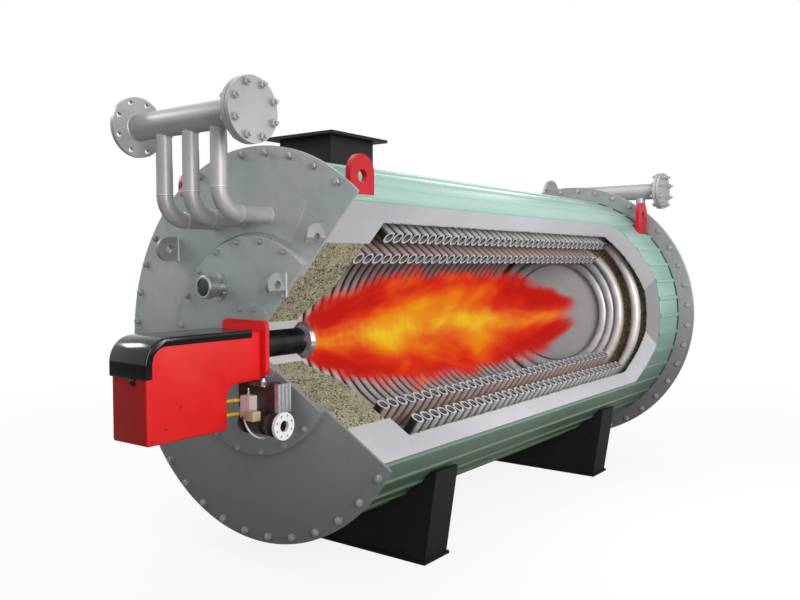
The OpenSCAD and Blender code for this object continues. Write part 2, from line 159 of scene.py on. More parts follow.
class Finish:
    """A material, with one method that adds any node to it."""

    def __init__(self, name, **constants):
        self.name = name
        self.material = bpy.data.materials.new(name + "_finish")
        self.material.use_nodes = True
        self.tree = self.material.node_tree
        self.shader = self.tree.nodes["Principled BSDF"]
        for words, value in constants.items():
            self.feed(words.replace("_", " ").title(), value)

    def feed(self, name, value):
        """Sets one of the shader's sockets, or links a wire to it."""
        self.join(self.shader.inputs[name.replace("Ior", "IOR")], value)

    def join(self, socket, value):
        """Links a wire to a socket, or sets the socket's own value."""
        if isinstance(value, Wire):
            self.tree.links.new(value.socket, socket)
        elif socket.type == "RGBA" and len(value) == 3:
            socket.default_value = (*value, 1.0)
        else:
            socket.default_value = value

    def node(self, kind, settings=None, sockets=None, out=0):
        """Adds a node of any kind and gives one of its outputs as a wire."""
        made = self.tree.nodes.new(kind)
        for key, value in (settings or {}).items():
            if key == "stops":
                for element, (place, colour) in zip(ramp_elements(made, len(value)), value):
                    element.position = place
                    element.color = (*colour, 1.0)
            else:
                setattr(made, key, value)
        for key, value in (sockets or {}).items():
            self.join(made.inputs[key], value)
        return Wire(self, made.outputs[out])

    def spot(self):
        """Where the surface is, in the object's own metres."""
        return self.node("ShaderNodeTexCoord", out="Object")

    def axes(self):
        """The same place as three separate numbers."""
        parts = self.node("ShaderNodeSeparateXYZ", {}, {0: self.spot()})
        return [Wire(self, socket) for socket in parts.socket.node.outputs]

    def noise(self, scale, detail=2.0, stretch=(1, 1, 1)):
        """Noise over the surface, closer along an axis whose stretch is more than 1."""
        mapped = self.node("ShaderNodeMapping", {}, {"Vector": self.spot(), "Scale": stretch})
        sockets = {"Vector": mapped, "Scale": scale, "Detail": detail}
        return self.node("ShaderNodeTexNoise", {}, sockets)

    def mix(self, factor, first, second):
        """A colour between two others."""
        sockets = {"Factor": factor, MIX_FIRST: first, MIX_SECOND: second}
        return self.node("ShaderNodeMix", {"data_type": "RGBA"}, sockets, out=MIX_RESULT)

    def bump(self, height, distance, strength):
        """Tilts the shading as if the surface rose by a height."""
        sockets = {"Height": height, "Distance": distance, "Strength": strength}
        self.feed("Normal", self.node("ShaderNodeBump", {}, sockets))


def ramp_elements(ramp, count):
    """The stops of a colour ramp, with as many as asked for."""
    elements = ramp.color_ramp.elements
    while len(elements) < count:
        elements.new(0.5)
    return elements


print("wires and finishes ready")

# %% [markdown]
# ## Light and floor
# A white studio: a pale floor and a bright surround. If the surround lit the object as strongly
# as it looks, every colour would wash out, so the world shows white to the camera and to
# reflections and gives a lower, even light. Large soft lamps, above and at the open side, model
# the form, one reaches the far end of the opening, one fills the rear, and a small one on the
# left puts a highlight on gloss. The floor keeps a soft shadow near the heater and fades to white
# away from it.

# %% World, lamps and floor
scene.view_settings.view_transform = "Standard"
AMBIENT = 0.31
FLOOR_TONE = 0.34
FLOOR_SEEN = 0.92
FLOOR_SEEN_WHITE = 0.86
FLOOR_NEAR, FLOOR_FAR = 2.6, 7.0
FLOOR_HALF = 40

world = bpy.data.worlds.new("studio")
scene.world = world
world.use_nodes = True
sky = world.node_tree
path = sky.nodes.new("ShaderNodeLightPath")
seen = sky.nodes.new("ShaderNodeMath")
seen.operation = "MAXIMUM"
seen_any = sky.nodes.new("ShaderNodeMath")
seen_any.operation = "MAXIMUM"
level = sky.nodes.new("ShaderNodeMapRange")
level.inputs["To Min"].default_value = AMBIENT
level.inputs["To Max"].default_value = 1.0
sky.links.new(path.outputs["Is Camera Ray"], seen.inputs[0])
sky.links.new(path.outputs["Is Glossy Ray"], seen.inputs[1])
sky.links.new(seen.outputs[0], seen_any.inputs[0])
sky.links.new(path.outputs["Is Transmission Ray"], seen_any.inputs[1])
sky.links.new(seen_any.outputs[0], level.inputs["Value"])
sky.nodes["Background"].inputs["Color"].default_value = (1.0, 1.0, 1.0, 1.0)
sky.links.new(level.outputs[0], sky.nodes["Background"].inputs["Strength"])


def soft_lamp(name, place, target, size, watts):
    """A square area lamp aimed at a point."""
    data = bpy.data.lights.new(name, "AREA")
    data.size = size
    data.energy = watts
    lamp = bpy.data.objects.new(name, data)
    lamp.location = place
    lamp.rotation_euler = (Vector(target) - Vector(place)).to_track_quat("-Z", "Y").to_euler()
    scene.collection.objects.link(lamp)


soft_lamp("overhead", (-1.0, -0.4, 6.0), (0.0, 0.2, 1.2), 5.0, 110)
soft_lamp("open_side", (5.0, -3.4, 2.5), (0.4, 0.4, 1.15), 3.2, 215)
soft_lamp("far_end", (3.1, -0.2, 1.7), (0.8, 1.8, 1.2), 1.2, 58)
soft_lamp("rear", (-3.6, 6.2, 3.4), (-0.2, 1.6, 1.2), 3.0, 130)
soft_lamp("gloss", (-4.0, -3.0, 4.1), (0.0, -2.0, 1.3), 1.0, 60)

floor_drawing = bmesh.new()
bmesh.ops.create_grid(floor_drawing, x_segments=1, y_segments=1, size=FLOOR_HALF)
floor_mesh = bpy.data.meshes.new("floor")
floor_drawing.to_mesh(floor_mesh)
floor_drawing.free()
floor = bpy.data.objects.new("floor", floor_mesh)
scene.collection.objects.link(floor)

floor_finish = Finish("floor_white", roughness=0.9)
glow = floor_finish.tree.nodes.new("ShaderNodeEmission")
blend = floor_finish.tree.nodes.new("ShaderNodeMixShader")
ray = floor_finish.node("ShaderNodeLightPath")
floor_finish.feed("Base Color", floor_finish.mix(ray, (FLOOR_TONE,) * 3, (FLOOR_SEEN,) * 3))
across, along, _ = floor_finish.axes()
away = ((across * across + along * along) ** 0.5).band(FLOOR_NEAR, FLOOR_FAR)
floor_finish.join(blend.inputs[0], ray * (away * (1 - FLOOR_SEEN_WHITE) + FLOOR_SEEN_WHITE))
floor_finish.tree.links.new(floor_finish.shader.outputs[0], blend.inputs[1])
floor_finish.tree.links.new(glow.outputs[0], blend.inputs[2])
output = floor_finish.tree.nodes["Material Output"]
floor_finish.tree.links.new(blend.outputs[0], output.inputs["Surface"])
floor_mesh.materials.append(floor_finish.material)

# %% [markdown]
# ## Painted steel
# Most of the heater is sheet or plate under paint. One function serves them all: a tone that
# drifts over a hand's breadth, a finer mottle from the spray, and a gloss that varies with both.
# The drift is what keeps a large plate from looking like plastic. On the front plate and the rear
# flange the paint darkens toward the floor, a painted shade.

# %% Paint
# Painted shade: the colour the paint darkens to toward the floor, and the heights it runs between.
PAINTED_LOW_SHADE = (0.105, 0.105, 0.107)
LOW_SHADE_START, LOW_SHADE_END = 0.1, 1.7
WIDE_SHARE, FINE_SHARE = 0.7, 0.3
GLOSS_SPREAD = 0.14
PEEL_SCALE, PEEL_DEPTH, PEEL_STRENGTH = 160.0, 0.0006, 0.25


def paint(name, colour, second, roughness, drift=1.6, mottle=14.0, low_shade=0.0, **constants):
    """Paint drifting between two tones, with the peel of a spray gun, and painted shade low down if
    asked.
    """
    finish = Finish(name, **constants)
    wide = finish.noise(drift, 3.0)
    fine = finish.noise(mottle, 4.0)
    share = (wide * WIDE_SHARE + fine * FINE_SHARE).band(0.35, 0.65)
    painted = finish.mix(share, colour, second)
    # Painted shade, where asked for: darker toward the floor.
    if low_shade:
        height = finish.axes()[2].band(LOW_SHADE_START, LOW_SHADE_END)
        painted = finish.mix((1 - height) * low_shade, painted, PAINTED_LOW_SHADE)
    finish.feed("Base Color", painted)
    finish.feed("Roughness", fine * GLOSS_SPREAD + (roughness - GLOSS_SPREAD / 2))
    finish.bump(finish.noise(PEEL_SCALE, 2.0), PEEL_DEPTH, PEEL_STRENGTH)
    return finish


plate_grey = paint("plate_grey", (0.360, 0.430, 0.422), (0.490, 0.500, 0.515), 0.46,
                   low_shade=0.9, metallic=0.25)
# Darker copies of the plate grey for the rear flange and the eye plates, a painted shade.
ring_grey = paint("ring_grey", (0.235, 0.243, 0.252), (0.300, 0.292, 0.306), 0.46,
                  low_shade=0.8, metallic=0.25)
eye_grey = paint("eye_grey", (0.230, 0.250, 0.248), (0.310, 0.320, 0.325), 0.50,
                 drift=4.0, metallic=0.25)
pipe_steel = paint("pipe_steel", (0.38, 0.368, 0.376), (0.45, 0.430, 0.440), 0.42,
                   drift=3.0, metallic=0.25)
support_black = paint("support_black", (0.006, 0.006, 0.007), (0.010, 0.010, 0.011), 0.46,
                      specular_ior_level=0.2)
lug_red = paint("lug_red", (0.43, 0.003, 0.012), (0.50, 0.005, 0.018), 0.40,
                drift=4.0, specular_ior_level=0.3)
burner_red = paint("burner_red", (0.69, 0.009, 0.010), (0.75, 0.013, 0.013), 0.38,
                   drift=3.0, specular_ior_level=0.35)
# A deeper red for the burner's rear panel, a painted shade.
panel_red = paint("panel_red", (0.39, 0.004, 0.004), (0.43, 0.006, 0.005), 0.40,
                  drift=3.0, specular_ior_level=0.3)
cover_black = paint("cover_black", (0.004, 0.004, 0.005), (0.006, 0.005, 0.007), 0.14,
                    drift=3.0, mottle=30.0, specular_ior_level=0.34)
valve_black = paint("valve_black", (0.018, 0.014, 0.013), (0.034, 0.026, 0.022), 0.42,
                    drift=9.0, mottle=40.0)
gas_white = paint("gas_white", (0.74, 0.74, 0.77), (0.82, 0.82, 0.84), 0.38, drift=8.0, mottle=60.0)
switch_plastic = paint("switch_plastic", (0.62, 0.52, 0.53), (0.68, 0.59, 0.59), 0.45,
                       drift=9.0, mottle=70.0)
switch_tan = paint("switch_tan", (0.40, 0.33, 0.22), (0.46, 0.39, 0.27), 0.5, drift=9.0, mottle=70.0)
lead_yellow = paint("lead_yellow", (0.62, 0.36, 0.010), (0.70, 0.44, 0.020), 0.45,
                    drift=9.0, mottle=60.0)
disc_grey = paint("disc_grey", (0.40, 0.388, 0.385), (0.43, 0.418, 0.412), 0.60, drift=1.2, mottle=9.0)
bead_steel = paint("bead_steel", (0.50, 0.49, 0.50), (0.60, 0.58, 0.59), 0.38,
                   drift=20.0, mottle=90.0, metallic=0.3)
bolt_zinc = paint("bolt_zinc", (0.30, 0.30, 0.305), (0.42, 0.42, 0.425), 0.32,
                  drift=30.0, mottle=90.0, metallic=0.5)
seal_black = paint("seal_black", (0.020, 0.022, 0.022), (0.032, 0.034, 0.034), 0.7,
                   drift=6.0, mottle=40.0)
print("materials so far:", len(bpy.data.materials))

# %% [markdown]
# ## Coated ribbed sheet
# The body is wrapped in sheet with a thin plastic coat, pale sea green. The coat is smoother than
# sprayed paint, and rain and handling leave faint streaks along the sheet, so its noise is
# stretched along the vessel. Toward the floor the sheet darkens, a painted shade.

# %% Cladding
# Painted shade on the lower part of the drum: its colour, the heights it runs between and its share.
UNDERSIDE_SHADE = (0.042, 0.071, 0.036)
UNDERSIDE_SHADE_LOW, UNDERSIDE_SHADE_HIGH, UNDERSIDE_SHADE_SHARE = 0.40, 1.32, 0.92

clad_green = Finish("clad_green", coat_weight=0.12, coat_roughness=0.2)
streak = clad_green.noise(9.0, 3.0, (1.0, 0.06, 1.0))
cloud = clad_green.noise(1.3, 2.0)
tone = (streak * 0.55 + cloud * 0.45).band(0.36, 0.64)
coated = clad_green.mix(tone, (0.235, 0.405, 0.350), (0.310, 0.495, 0.435))
# Painted shade: darker toward the floor.
painted_underside = (1 - clad_green.axes()[2].band(UNDERSIDE_SHADE_LOW, UNDERSIDE_SHADE_HIGH)) * UNDERSIDE_SHADE_SHARE
clad_green.feed("Base Color", clad_green.mix(painted_underside, coated, UNDERSIDE_SHADE))
clad_green.feed("Roughness", streak * 0.16 + 0.28)
clad_green.bump(clad_green.noise(5.0, 2.0, (1.0, 0.3, 1.0)), 0.004, 0.15)
print("cladding finish made")

# %% [markdown]
# ## Insulation, refractory and fibre
# Three mineral materials show in the cut. The wool is a pale felt with a fine nap. The cast block
# round the burner is a coarse concrete: khaki paste with dark and light grit, which Voronoi
# cells give with a sharper edge than noise does. The wall behind the coils is rough in the same
# way but paler. The throat sleeve is white fibre board.

# %% Minerals
WOOL_DEEP, WOOL_PALE = (0.445, 0.445, 0.468), (0.515, 0.515, 0.540)
GRIT_DARK, GRIT_PALE = (0.085, 0.075, 0.042), (0.47, 0.44, 0.31)
COARSE_GRIT, SMALL_GRIT = 95.0, 190.0

insulation_wool = Finish("insulation_wool", roughness=0.9)
nap = insulation_wool.noise(180.0, 3.0, (1.0, 0.35, 1.0))
felt = insulation_wool.noise(2.2, 3.0)
shade = (nap * 0.35 + felt * 0.65).band(0.30, 0.70)
insulation_wool.feed("Base Color", insulation_wool.mix(shade, WOOL_DEEP, WOOL_PALE))
insulation_wool.bump(nap, 0.0015, 0.4)


def grit(finish, scale):
    """A random number for each grain, so that grains differ in tone."""
    cells = {"Vector": finish.spot(), "Scale": scale}
    tint = finish.node("ShaderNodeTexVoronoi", {}, cells, out="Color")
    return finish.node("ShaderNodeSeparateColor", {}, {0: tint})


def cast_concrete(name, deep, pale):
    """Khaki paste with dark and light grit."""
    finish = Finish(name, roughness=0.95)
    coarse = grit(finish, COARSE_GRIT)
    small = grit(finish, SMALL_GRIT)
    paste = finish.mix(finish.noise(7.0, 4.0).band(0.35, 0.65), deep, pale)
    dark = finish.mix(coarse.band(0.66, 0.74), paste, GRIT_DARK)
    finish.feed("Base Color", finish.mix(small.band(0.74, 0.80), dark, GRIT_PALE))
    finish.bump(coarse * 0.6 + small * 0.4, 0.004, 0.6)
    return finish


refractory = cast_concrete("refractory", (0.235, 0.212, 0.125), (0.335, 0.305, 0.195))
casing_olive = cast_concrete("casing_olive", (0.400, 0.385, 0.300), (0.500, 0.475, 0.370))

sleeve_fibre = Finish("sleeve_fibre", roughness=0.85)
board = sleeve_fibre.noise(60.0, 4.0)
sleeve_fibre.feed("Base Color", sleeve_fibre.mix(board, (0.55, 0.55, 0.57), (0.68, 0.68, 0.70)))
sleeve_fibre.bump(board, 0.002, 0.4)
print("minerals made")

# %% [markdown]
# ## Bare steel
# The coils are drawn tube, grey with mill scale, browned by heat in the gap where the flue gas
# runs between them, and darker on the inside of the inner coil toward the top, a painted shade.
# How far a point is from the vessel axis says where that is. A number on the wound tubes, made
# further on, paints shade on the steel in the grooves between two turns. Sawn ends, the burner
# head and the sight tube are brighter steel.

# %% Metals
GAP_START, GAP_END = (0.602, 0.632), (0.702, 0.732)
BROWN, BROWN_SHARE = (0.45, 0.255, 0.175), 0.8
# Painted shade inside the inner coil toward the top: its colour, share, heights and radii.
SHADE_ABOVE, SHADE_ABOVE_SHARE = (0.050, 0.045, 0.045), 0.68
SHADE_ABOVE_RISE, SHADE_ABOVE_WALL = (0.12, 0.46), (0.572, 0.600)
# Painted shade in the grooves between turns: its colour and where it sets in.
GROOVE_SHADE, GROOVE_SHADE_BAND = (0.022, 0.020, 0.020), (0.40, 0.90)
GRAIN_SPREAD = 0.2


def bright_metal(name, dull, fresh, roughness, metallic=0.85):
    """Steel with a soft grain across it."""
    finish = Finish(name, metallic=metallic)
    scratch = finish.noise(40.0, 4.0, (1.0, 6.0, 1.0))
    finish.feed("Base Color", finish.mix(scratch.band(0.3, 0.7), dull, fresh))
    finish.feed("Roughness", scratch * GRAIN_SPREAD + (roughness - GRAIN_SPREAD / 2))
    return finish


coil_steel = Finish("coil_steel", metallic=0.20)
across, _, up = coil_steel.axes()
up = up - AXIS_Z
from_axis = (across * across + up * up) ** 0.5
gap = from_axis.band(*GAP_START) * (1 - from_axis.band(*GAP_END))
groove = coil_steel.node("ShaderNodeAttribute", {"attribute_name": "groove"}, out="Fac")
scale = coil_steel.noise(11.0, 5.0)
bare = coil_steel.mix(scale.band(0.35, 0.65), (0.50, 0.49, 0.50), (0.62, 0.605, 0.615))
browned = coil_steel.mix(gap * BROWN_SHARE, bare, BROWN)
# Painted shade inside the inner coil, darker toward the top.
painted_shade_above = up.band(*SHADE_ABOVE_RISE) * (1 - from_axis.band(*SHADE_ABOVE_WALL)) * SHADE_ABOVE_SHARE
shaded_above = coil_steel.mix(painted_shade_above, browned, SHADE_ABOVE)
# Painted shade in the grooves between turns.
coil_steel.feed("Base Color", coil_steel.mix(groove.band(*GROOVE_SHADE_BAND), shaded_above, GROOVE_SHADE))
coil_steel.feed("Roughness", scale * 0.25 + 0.30)
# The bore and its floor are painted dark, the shade inside a tube.
bore_black = Finish("bore_black", base_color=(0.150, 0.145, 0.145), roughness=0.8)
sawn_steel = bright_metal("sawn_steel", (0.46, 0.46, 0.475), (0.58, 0.58, 0.595), 0.45, 0.1)
head_steel = bright_metal("head_steel", (0.60, 0.61, 0.64), (0.78, 0.79, 0.81), 0.22)
sight_steel = bright_metal("sight_steel", (0.36, 0.38, 0.39), (0.46, 0.48, 0.49), 0.36)
actuator_grey = bright_metal("actuator_grey", (0.46, 0.47, 0.49), (0.58, 0.59, 0.61), 0.42)
blast_steel = paint("blast_steel", (0.016, 0.013, 0.016), (0.034, 0.026, 0.032), 0.24,
                    drift=5.0, metallic=0.6)
sight_glass = Finish("sight_glass", base_color=(0.03, 0.045, 0.06))
haze = sight_glass.noise(25.0, 2.0)
sight_glass.feed("Roughness", haze * 0.10 + 0.02)
print("metals made")

# %% [markdown]
# ## Dressing the solids
# The record says which finish slot each solid belongs to, and the finishes above carry the same
# names, so one loop dresses them all. The eye plates and the rear flange get a darker copy of the
# front plate's grey, a painted shade.

# %% Assign the finishes
FINISHES = {
    finish.name: finish
    for finish in (plate_grey, pipe_steel, support_black, lug_red, burner_red, cover_black, valve_black,
                   gas_white, switch_plastic, lead_yellow, disc_grey, casing_olive, clad_green,
                   insulation_wool, refractory, sleeve_fibre, coil_steel, head_steel, sight_steel,
                   actuator_grey, blast_steel, sight_glass)
}
for row in frame["record"]["subparts"]:
    solid = frame["nodes"][row["node"]]
    solid.data.materials.clear()
    solid.data.materials.append(FINISHES[row["material_slot"]].material)
for node, finish in (("plate_lugs", eye_grey), ("door_lug", eye_grey), ("rear_flange_ring", ring_grey)):
    frame["nodes"][node].data.materials[0] = finish.material

# %% [markdown]
# ## Making a piece
# Every added piece is drawn in a bmesh where it belongs, so its object stays at the origin. This
# helper turns the drawing into an object, shades round faces smooth and sharp ones flat, and
# lets it ride on the heater. A second helper stands a thing on a surface.

# %% A piece from a drawing
SHARP_ANGLE = math.radians(32)
FRONT = (0, -1, 0)
BACK = (0, 1, 0)
RIGHT = (1, 0, 0)
LEFT = (-1, 0, 0)
UP = (0, 0, 1)


def make_piece(name, drawing, finishes, replaces=()):
    """A finished object from a bmesh. Faces keep their material numbers."""
    bmesh.ops.recalc_face_normals(drawing, faces=drawing.faces)
    mesh = bpy.data.meshes.new(name)
    for face in drawing.faces:
        face.smooth = True
    drawing.to_mesh(mesh)
    drawing.free()
    mesh.set_sharp_from_angle(angle=SHARP_ANGLE)
    for finish in finishes:
        mesh.materials.append(finish.material)
    made = bpy.data.objects.new(name, mesh)
    scene.collection.objects.link(made)
    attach(made, "root")
    if replaces:
        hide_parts(*replaces)
    print(name, len(mesh.polygons), "faces")
    return made


def facing(place, direction):
    """A matrix that stands a thing on a place with its +Z along a direction."""
    return Matrix.Translation(place) @ Vector(direction).to_track_quat("Z", "Y").to_matrix().to_4x4()


print("pieces are shaded flat past", round(math.degrees(SHARP_ANGLE)), "degrees")

# %% [markdown]
# ## Bolts
# The front plate, the door and the rear flange are bolted all round, and every bolt shows as a hex
# head on a washer. A head is a six-sided cone with its top edges bevelled. It is drawn once, in a
# small bmesh, and stamped round the circle, because an operator takes longer in a full drawing.
# The parts of a head are shares of its width across flats.

# %% Hex heads and nuts
WASHER_T, WASHER_R = 0.12, 0.64
HEAD_CHAMFER = 0.08
STUD_R, STUD_TAPER = 0.33, 0.88


def small_mesh(drawing):
    """Keeps a small drawing as a mesh to stamp."""
    mesh = bpy.data.meshes.new("stamp")
    drawing.to_mesh(mesh)
    drawing.free()
    return mesh


def stamp(drawing, mesh, place):
    """Adds a copy of a small mesh to a drawing, at a place."""
    copy = mesh.copy()
    copy.transform(place)
    drawing.from_mesh(copy)
    bpy.data.meshes.remove(copy)


def edges_among(verts):
    """The edges that have both ends among some vertices, each once and in a steady order."""
    kept = set(verts)
    found = dict.fromkeys(edge for vert in verts for edge in vert.link_edges)
    return [edge for edge in found if edge.verts[0] in kept and edge.verts[1] in kept]


def rod(drawing, segments, radius, low, high, place=Matrix.Identity(4), taper=1.0):
    """A closed round or many-sided rod from low to high along +Z of place."""
    return bmesh.ops.create_cone(drawing, cap_ends=True, segments=segments, radius1=radius,
                                 radius2=radius * taper, depth=high - low,
                                 matrix=place @ Matrix.Translation((0, 0, (low + high) / 2)))["verts"]


def hex_head(across, height, stud=0.0):
    """A hex head or nut along +Z, on a washer, with a stud end through it if asked for."""
    drawing = bmesh.new()
    base = WASHER_T * across
    rod(drawing, 12, across * WASHER_R, 0.0, base)
    head = rod(drawing, 6, across / math.sqrt(3), base, base + height)
    top = [v for v in head if v.co.z > base + height * 0.9]
    bmesh.ops.bevel(drawing, geom=edges_among(top), offset=across * HEAD_CHAMFER, segments=1, profile=0.5,
                    affect="EDGES", material=-1)
    if stud:
        rod(drawing, 10, across * STUD_R, base + height, base + height + stud, taper=STUD_TAPER)
    return small_mesh(drawing)


def bolt_circle(name, radius, depth, count, first, direction, across, height, stud=0.0, whole=False):
    """A ring of bolts on the vessel, left out where the cutaway is."""
    drawing = bmesh.new()
    head = hex_head(across, height, stud)
    for i in range(count):
        degrees = first + i * 360 / count
        if whole or not in_window(degrees):
            stamp(drawing, head, facing(on_vessel(radius, degrees, depth), direction))
    return make_piece(name, drawing, [bolt_zinc])


door_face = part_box("burner_door")[0].y - FACE_Y
ring_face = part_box("burner_ring")[0].y - FACE_Y
flange_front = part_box("rear_flange_ring")[0].y - FACE_Y
cover_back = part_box("rear_cover")[1].y - FACE_Y
RIM_R, DOOR_R, RING_R, REAR_R = 0.965, 0.528, 0.190, 1.032
bolt_circle("plate_rim_bolts", RIM_R, 0.0, 36, 5, FRONT, across=0.031, height=0.014, stud=0.006)
bolt_circle("door_bolts", DOOR_R, door_face, 20, 9, FRONT, across=0.025, height=0.012, stud=0.005)
bolt_circle("burner_ring_bolts", RING_R, ring_face, 12, 15, FRONT,
            across=0.018, height=0.009, stud=0.004)
bolt_circle("rear_flange_bolts", REAR_R, flange_front, 40, 4.5, FRONT,
            across=0.031, height=0.014, whole=True)
bolt_circle("rear_cover_nuts", REAR_R, cover_back, 40, 4.5, BACK,
            across=0.034, height=0.018, stud=0.010, whole=True)

# %% [markdown]
# ## Header studs
# Each header ends in a blind flange held by eight studs with a nut at either side. The studs lie on
# the bolt circle drilled in the flanges, turned half a step so that none is at the very top. An
# array modifier could repeat one stud, but a loop sets both of its nuts at once.

# %% Header studs and nuts
HEADER_STUDS = 8
STUD_CIRCLE_R = 0.125
FLANGE_T = 0.024
STUD_NUT, NUT_HEIGHT = 0.032, 0.018
STUD_OUT, STUD_IN = 0.014, 0.010


def header_studs(name, blind_face, centre):
    """Nuts on the blind face and behind the mating flange, with the stud between them."""
    drawing = bmesh.new()
    outer_nut = hex_head(STUD_NUT, NUT_HEIGHT, STUD_OUT)
    inner_nut = hex_head(STUD_NUT, NUT_HEIGHT, STUD_IN)
    for i in range(HEADER_STUDS):
        turn = math.radians((i + 0.5) * 360 / HEADER_STUDS)
        spread = Vector((0, -math.sin(turn), math.cos(turn))) * STUD_CIRCLE_R
        outer = Vector((blind_face, 0, 0)) + centre + spread
        inner = Vector((blind_face - 2 * FLANGE_T, 0, 0)) + centre + spread
        stamp(drawing, outer_nut, facing(outer, RIGHT))
        stamp(drawing, inner_nut, facing(inner, LEFT))
    return make_piece(name, drawing, [pipe_steel])


def header_axis(node):
    """Where a header's axis runs, along the vessel and in height."""
    low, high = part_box(node)
    return Vector((0, (low.y + high.y) / 2, (low.z + high.z) / 2))


front_header = header_axis("front_header_pipe")
rear_header = header_axis("rear_header_pipe")
front_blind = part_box("front_header_flanges")[1].x + FLANGE_T
rear_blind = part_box("rear_header_flanges")[1].x + FLANGE_T
header_studs("front_header_studs", front_blind, front_header)
header_studs("rear_header_studs", rear_blind, rear_header)

# %% [markdown]
# ## Weld beads
# The pipes are welded together from straight lengths and bends, and each joint shows as a raised
# bead. There is no ring among the shapes that bmesh starts from, so a bead is a small circle spun
# once round the pipe. The eye plates on the front are welded along both sides, with a straight
# bead. A riser is given by its place across the vessel and the height of its level run over the
# axis, and an eye plate by its place, its length and its depth.

# %% Weld beads
BEND_R = 0.120
RISER_R = 0.040
HEADER_R = 0.0665
BEAD = 0.0038
FRONT_RISERS = ((-0.290, 0.628), (-0.092, 0.636), (0.106, 0.650))
REAR_RISERS = ((-0.165, 0.650), (0.165, 0.650), (0.495, 0.650))
EYES = ((-0.608, 0.491, 0.131, 0.0), (0.247, 0.312, 0.118, door_face))
EYE_HALF, EYE_BEAD = 0.011, 0.008


def pipe_bead(radius):
    """A bead round a pipe along +Z."""
    drawing = bmesh.new()
    start = bmesh.ops.create_circle(drawing, segments=6, radius=BEAD,
                                    matrix=facing((radius, 0, 0), BACK))["verts"]
    bmesh.ops.spin(drawing, geom=edges_among(start), cent=(0, 0, 0), axis=UP, angle=math.tau,
                   steps=28, use_merge=True)
    bmesh.ops.remove_doubles(drawing, verts=drawing.verts, dist=0.0002)
    return small_mesh(drawing)


def riser_beads(name, risers, header, ends, face_y, inward):
    """Beads on a header and its risers: at both flanges, at the bends and where they end."""
    drawing = bmesh.new()
    round_riser = pipe_bead(RISER_R)
    round_header = pipe_bead(HEADER_R)
    for x in ends:
        stamp(drawing, round_header, facing((x, header.y, header.z), RIGHT))
    for x, run in risers:
        run_z = AXIS_Z + run
        stamp(drawing, round_riser, facing((x, header.y, header.z - HEADER_R + BEAD), UP))
        stamp(drawing, round_riser, facing((x, header.y, run_z + BEND_R), UP))
        stamp(drawing, round_riser, facing((x, header.y + inward * BEND_R, run_z), BACK))
        stamp(drawing, round_riser, facing((x, face_y, run_z), BACK))
    return make_piece(name, drawing, [bead_steel])


panel_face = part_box("pipe_panel")[0].y
rear_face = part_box("rear_cover")[1].y
front_ends = [end.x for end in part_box("front_header_pipe")]
rear_ends = [end.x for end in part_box("rear_header_pipe")]
riser_beads("front_pipe_beads", FRONT_RISERS, front_header, front_ends, panel_face, 1)
riser_beads("rear_pipe_beads", REAR_RISERS, rear_header, rear_ends, rear_face, -1)

eye_beads = bmesh.new()
for x, z, length, depth in EYES:
    for side in (-1, 1):
        foot = Vector((x + side * EYE_HALF, FACE_Y + depth, AXIS_Z + z))
        rod(eye_beads, 8, EYE_BEAD, -length / 2, length / 2, Matrix.Translation(foot))
make_piece("eye_plate_beads", eye_beads, [plate_grey])

# %% [markdown]
# ## Sight tube screws and the rear seal
# The sight tube is held to the door by six screws through its foot. At the other end of the vessel
# a dark strip seals the sheet against the rear flange. It is a small rectangle spun once round
# the axis.

# %% Sight screws and rear seal
SIGHT_SCREWS = 6
SIGHT_CIRCLE_R = 0.061
SIGHT_FOOT_T = 0.014
SEAL_IN, SEAL_OUT = 0.940, 0.957
SEAL_LAP = 0.004

sight_low, sight_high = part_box("sight_tube")
sight_axis = (sight_low + sight_high) / 2
sight_screws = bmesh.new()
screw = hex_head(across=0.011, height=0.007)
for i in range(SIGHT_SCREWS):
    turn = math.radians((i + 0.5) * 360 / SIGHT_SCREWS)
    spot = Vector((sight_axis.x + SIGHT_CIRCLE_R * math.cos(turn), sight_high.y - SIGHT_FOOT_T,
                   sight_axis.z + SIGHT_CIRCLE_R * math.sin(turn)))
    stamp(sight_screws, screw, facing(spot, FRONT))
make_piece("sight_tube_screws", sight_screws, [sight_steel])

seal_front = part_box("cladding")[1].y - FACE_Y - SEAL_LAP
section = ((SEAL_IN, seal_front), (SEAL_OUT, seal_front),
           (SEAL_OUT, flange_front), (SEAL_IN, flange_front))
seal = bmesh.new()
corners = [seal.verts.new(on_vessel(radius, 90, depth)) for radius, depth in section]
strip = [seal.edges.new(pair) for pair in zip(corners, corners[1:] + corners[:1])]
bmesh.ops.spin(seal, geom=corners + strip, cent=(0, FACE_Y, AXIS_Z), axis=BACK, angle=math.tau,
               steps=120, use_merge=True)
bmesh.ops.remove_doubles(seal, verts=seal.verts, dist=0.0005)
make_piece("rear_seal", seal, [seal_black])

# %% [markdown]
# ## Coils
# Each coil is one tube wound along the drum, so its turns rise from one to the next. Spin draws
# exactly that: a circle turned about the vessel axis and moved along it a little at each step.
# The cutaway saws every turn, so each arc is drawn by itself, and its ends get the tube's wall as
# a bright ring with a bore behind it that is painted dark, the shade inside the tube. A number on
# each vertex says how far it is from the crown of the tube toward its neighbour, and the steel's
# finish paints shade there, in the grooves between turns.

# %% Wound coils
TUBE_R = 0.037
TUBE_BORE = 0.025
PITCH = 0.078
WINDOW_END = 3.270
TUBE_SIDES = 14
STEP_DEGREES = 5
BORE_DEGREES = 9


def wind(drawing, edges, degrees, rise, steps):
    """Turns a loop about the vessel axis, moving it back by rise in all. Returns the last loop."""
    axis_at = Vector((0, FACE_Y, AXIS_Z))
    made = bmesh.ops.spin(drawing, geom=edges, cent=axis_at, axis=FRONT, dvec=(0, rise / steps, 0),
                          angle=math.radians(degrees), steps=steps, use_merge=False, use_duplicate=False)
    return [g for g in made["geom_last"] if isinstance(g, bmesh.types.BMVert)]


